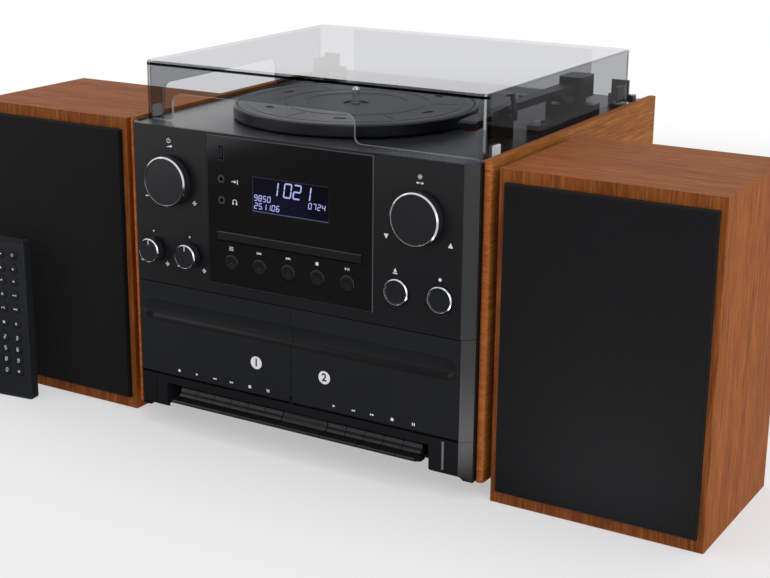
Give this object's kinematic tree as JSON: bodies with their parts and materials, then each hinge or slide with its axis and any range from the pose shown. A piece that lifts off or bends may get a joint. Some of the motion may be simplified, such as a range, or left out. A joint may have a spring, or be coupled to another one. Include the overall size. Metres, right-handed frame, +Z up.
{
  "type": "stereo_music_centre",
  "caption": "Wood-sided stereo music centre with record deck under a clear cover, CD drawer and twin cassette doors, with two speakers and a remote control.",
  "frame": {"origin": "Middle of the set's outline on the surface it stands on.", "axes": "+X runs along the width from the left to the right speaker, +Y from the fascia to the back, +Z up."},
  "size_m": [0.7106, 0.3688, 0.3199],
  "materials": {
    "wood": "satin walnut veneer on board",
    "black": "charcoal black, fine satin grain",
    "gloss": "gloss black",
    "glass": "dark blue display window",
    "deck": "dark grey satin deck moulding",
    "clear": "clear smoked acrylic cover",
    "steel": "bare steel",
    "chrome": "polished spindle",
    "mat": "black rubber platter mat",
    "rubber": "black rubber",
    "brass": "turned brass pulley",
    "red": "red stylus holder",
    "light": "light grey slider",
    "fabric": "black woven grille cloth on a frame",
    "driver": "black loudspeaker drivers with paper cones",
    "board": "green circuit boards with their parts",
    "metal": "grey metal mechanism",
    "sheet": "black coated sheet"
  },
  "bodies": {
    "unit": {"side_panels": "wood", "upper_fascia": "black", "lower_fascia": "black", "centre_panel": "gloss", "display": "glass", "record_deck": "deck", "rear_panel": "sheet", "base_plate": "sheet", "feet": "rubber", "circuit_boards": "board", "turntable_motor": "steel", "drive_belt": "rubber", "spindle": "chrome", "arm_base": "black", "sockets": "steel", "tape_mechanisms": "metal", "cd_loader": "metal", "speaker_cabinets": "wood", "speaker_grilles": "fabric", "speaker_drivers": "driver", "remote_case": "black", "remote_keypad": "rubber"},
    "cover": {"dust_cover": "clear", "hinge_leaves": "deck"},
    "platter": {"platter": "deck", "platter_mat": "mat"},
    "pulley": {"motor_pulley": "brass"},
    "yoke": {"arm_yoke": "black"},
    "arm": {"tonearm": "black", "cartridge": "red"},
    "cue_lever": {"cue_lever": "black"},
    "arm_clip": {"arm_clip": "black"},
    "speed_switch": {"speed_switch": "light"},
    "volume_shaft": {"volume_shaft": "steel"},
    "volume_knob": {"volume_knob": "black"},
    "select_shaft": {"select_shaft": "steel"},
    "select_knob": {"select_knob": "black"},
    "bass_knob": {"bass_knob": "black"},
    "treble_knob": {"treble_knob": "black"},
    "eject_button": {"eject_button": "black"},
    "record_button": {"record_button": "black"},
    "menu_button_1": {"menu_button_1": "gloss"},
    "menu_button_2": {"menu_button_2": "gloss"},
    "menu_button_3": {"menu_button_3": "gloss"},
    "menu_button_4": {"menu_button_4": "gloss"},
    "menu_button_5": {"menu_button_5": "gloss"},
    "cd_tray": {"cd_tray": "gloss"},
    "left_door": {"left_door": "black"},
    "right_door": {"right_door": "black"},
    "left_record_key": {"left_record_key": "black"},
    "left_play_key": {"left_play_key": "black"},
    "left_rewind_key": {"left_rewind_key": "black"},
    "left_forward_key": {"left_forward_key": "black"},
    "left_stop_key": {"left_stop_key": "black"},
    "left_pause_key": {"left_pause_key": "black"},
    "right_play_key": {"right_play_key": "black"},
    "right_rewind_key": {"right_rewind_key": "black"},
    "right_forward_key": {"right_forward_key": "black"},
    "right_stop_key": {"right_stop_key": "black"},
    "right_pause_key": {"right_pause_key": "black"}
  },
  "joints": [
    {"name": "cover_hinge", "type": "hinge", "parent": "unit", "child": "cover", "pos_m": [0.0014, 0.14894, 0.2745], "axis": [-1, 0, 0], "range_deg": [0, 65]},
    {"name": "platter_turn", "type": "hinge", "parent": "unit", "child": "platter", "pos_m": [-0.0166, -0.03106, 0.262], "axis": [0, 0, 1], "continuous": true},
    {"name": "pulley_turn", "type": "hinge", "parent": "unit", "child": "pulley", "pos_m": [-0.08868, -0.08154, 0.256], "axis": [0, 0, 1], "continuous": true},
    {"name": "arm_swing", "type": "hinge", "parent": "unit", "child": "yoke", "pos_m": [0.1314, 0.09993, 0.2745], "axis": [0, 0, -1], "range_deg": [0, 34]},
    {"name": "arm_lift", "type": "hinge", "parent": "yoke", "child": "arm", "pos_m": [0.1314, 0.09993, 0.291], "axis": [-1, 0, 0], "range_deg": [0, 6]},
    {"name": "cue_lever_turn", "type": "hinge", "parent": "unit", "child": "cue_lever", "pos_m": [0.1314, 0.05894, 0.2846], "axis": [-1, 0, 0], "range_deg": [0, 60]},
    {"name": "arm_clip_turn", "type": "hinge", "parent": "unit", "child": "arm_clip", "pos_m": [0.139, -0.04906, 0.291], "axis": [0, -1, 0], "range_deg": [0, 80]},
    {"name": "speed_switch_slide", "type": "slide", "parent": "unit", "child": "speed_switch", "axis": [0, 1, 0], "range_m": [0, 0.012]},
    {"name": "volume_push", "type": "slide", "parent": "unit", "child": "volume_shaft", "axis": [0, 1, 0], "range_m": [0, 0.001], "stiffness_N_per_m": 1500},
    {"name": "volume_turn", "type": "hinge", "parent": "volume_shaft", "child": "volume_knob", "pos_m": [-0.1183, -0.16706, 0.225], "axis": [0, -1, 0], "continuous": true},
    {"name": "select_push", "type": "slide", "parent": "unit", "child": "select_shaft", "axis": [0, 1, 0], "range_m": [0, 0.001], "stiffness_N_per_m": 1500},
    {"name": "select_turn", "type": "hinge", "parent": "select_shaft", "child": "select_knob", "pos_m": [0.1211, -0.16706, 0.225], "axis": [0, -1, 0], "continuous": true},
    {"name": "bass_turn", "type": "hinge", "parent": "unit", "child": "bass_knob", "pos_m": [-0.1376, -0.16706, 0.1628], "axis": [0, -1, 0], "range_deg": [-140, 140]},
    {"name": "treble_turn", "type": "hinge", "parent": "unit", "child": "treble_knob", "pos_m": [-0.099, -0.16706, 0.1628], "axis": [0, -1, 0], "range_deg": [-140, 140]},
    {"name": "eject_push", "type": "slide", "parent": "unit", "child": "eject_button", "axis": [0, 1, 0], "range_m": [0, 0.0012], "stiffness_N_per_m": 1200},
    {"name": "record_push", "type": "slide", "parent": "unit", "child": "record_button", "axis": [0, 1, 0], "range_m": [0, 0.0012], "stiffness_N_per_m": 1200},
    {"name": "menu_push_1", "type": "slide", "parent": "unit", "child": "menu_button_1", "axis": [0, 1, 0], "range_m": [0, 0.001], "stiffness_N_per_m": 1200},
    {"name": "menu_push_2", "type": "slide", "parent": "unit", "child": "menu_button_2", "axis": [0, 1, 0], "range_m": [0, 0.001], "stiffness_N_per_m": 1200},
    {"name": "menu_push_3", "type": "slide", "parent": "unit", "child": "menu_button_3", "axis": [0, 1, 0], "range_m": [0, 0.001], "stiffness_N_per_m": 1200},
    {"name": "menu_push_4", "type": "slide", "parent": "unit", "child": "menu_button_4", "axis": [0, 1, 0], "range_m": [0, 0.001], "stiffness_N_per_m": 1200},
    {"name": "menu_push_5", "type": "slide", "parent": "unit", "child": "menu_button_5", "axis": [0, 1, 0], "range_m": [0, 0.001], "stiffness_N_per_m": 1200},
    {"name": "cd_tray_slide", "type": "slide", "parent": "unit", "child": "cd_tray", "axis": [0, -1, 0], "range_m": [0, 0.13]},
    {"name": "left_door_open", "type": "hinge", "parent": "unit", "child": "left_door", "pos_m": [-0.0771, -0.15887, 0.052], "axis": [1, 0, 0], "range_deg": [0, 35]},
    {"name": "right_door_open", "type": "hinge", "parent": "unit", "child": "right_door", "pos_m": [0.0799, -0.15887, 0.052], "axis": [1, 0, 0], "range_deg": [0, 35]},
    {"name": "left_record_key_press", "type": "hinge", "parent": "unit", "child": "left_record_key", "pos_m": [-0.1111, -0.11206, 0.035], "axis": [1, 0, 0], "range_deg": [0, 6], "stiffness_Nm_per_rad": 0.6, "springref_deg": -2.86},
    {"name": "left_play_key_press", "type": "hinge", "parent": "unit", "child": "left_play_key", "pos_m": [-0.0931, -0.11206, 0.035], "axis": [1, 0, 0], "range_deg": [0, 6], "stiffness_Nm_per_rad": 0.6, "springref_deg": -2.86},
    {"name": "left_rewind_key_press", "type": "hinge", "parent": "unit", "child": "left_rewind_key", "pos_m": [-0.0751, -0.11206, 0.035], "axis": [1, 0, 0], "range_deg": [0, 6], "stiffness_Nm_per_rad": 0.6, "springref_deg": -2.86},
    {"name": "left_forward_key_press", "type": "hinge", "parent": "unit", "child": "left_forward_key", "pos_m": [-0.0571, -0.11206, 0.035], "axis": [1, 0, 0], "range_deg": [0, 6], "stiffness_Nm_per_rad": 0.6, "springref_deg": -2.86},
    {"name": "left_stop_key_press", "type": "hinge", "parent": "unit", "child": "left_stop_key", "pos_m": [-0.0391, -0.11206, 0.035], "axis": [1, 0, 0], "range_deg": [0, 6], "stiffness_Nm_per_rad": 0.6, "springref_deg": -2.86},
    {"name": "left_pause_key_press", "type": "hinge", "parent": "unit", "child": "left_pause_key", "pos_m": [-0.0211, -0.11206, 0.035], "axis": [1, 0, 0], "range_deg": [0, 6], "stiffness_Nm_per_rad": 0.6, "springref_deg": -2.86},
    {"name": "right_play_key_press", "type": "hinge", "parent": "unit", "child": "right_play_key", "pos_m": [0.0419, -0.11206, 0.035], "axis": [1, 0, 0], "range_deg": [0, 6], "stiffness_Nm_per_rad": 0.6, "springref_deg": -2.86},
    {"name": "right_rewind_key_press", "type": "hinge", "parent": "unit", "child": "right_rewind_key", "pos_m": [0.0599, -0.11206, 0.035], "axis": [1, 0, 0], "range_deg": [0, 6], "stiffness_Nm_per_rad": 0.6, "springref_deg": -2.86},
    {"name": "right_forward_key_press", "type": "hinge", "parent": "unit", "child": "right_forward_key", "pos_m": [0.0779, -0.11206, 0.035], "axis": [1, 0, 0], "range_deg": [0, 6], "stiffness_Nm_per_rad": 0.6, "springref_deg": -2.86},
    {"name": "right_stop_key_press", "type": "hinge", "parent": "unit", "child": "right_stop_key", "pos_m": [0.0959, -0.11206, 0.035], "axis": [1, 0, 0], "range_deg": [0, 6], "stiffness_Nm_per_rad": 0.6, "springref_deg": -2.86},
    {"name": "right_pause_key_press", "type": "hinge", "parent": "unit", "child": "right_pause_key", "pos_m": [0.1139, -0.11206, 0.035], "axis": [1, 0, 0], "range_deg": [0, 6], "stiffness_Nm_per_rad": 0.6, "springref_deg": -2.86}
  ],
  "couplings": [
    {"joint": "pulley_turn", "follows": "platter_turn", "ratio": 16.222},
    {"joint": "arm_lift", "follows": "cue_lever_turn", "ratio": 0.1}
  ]
}
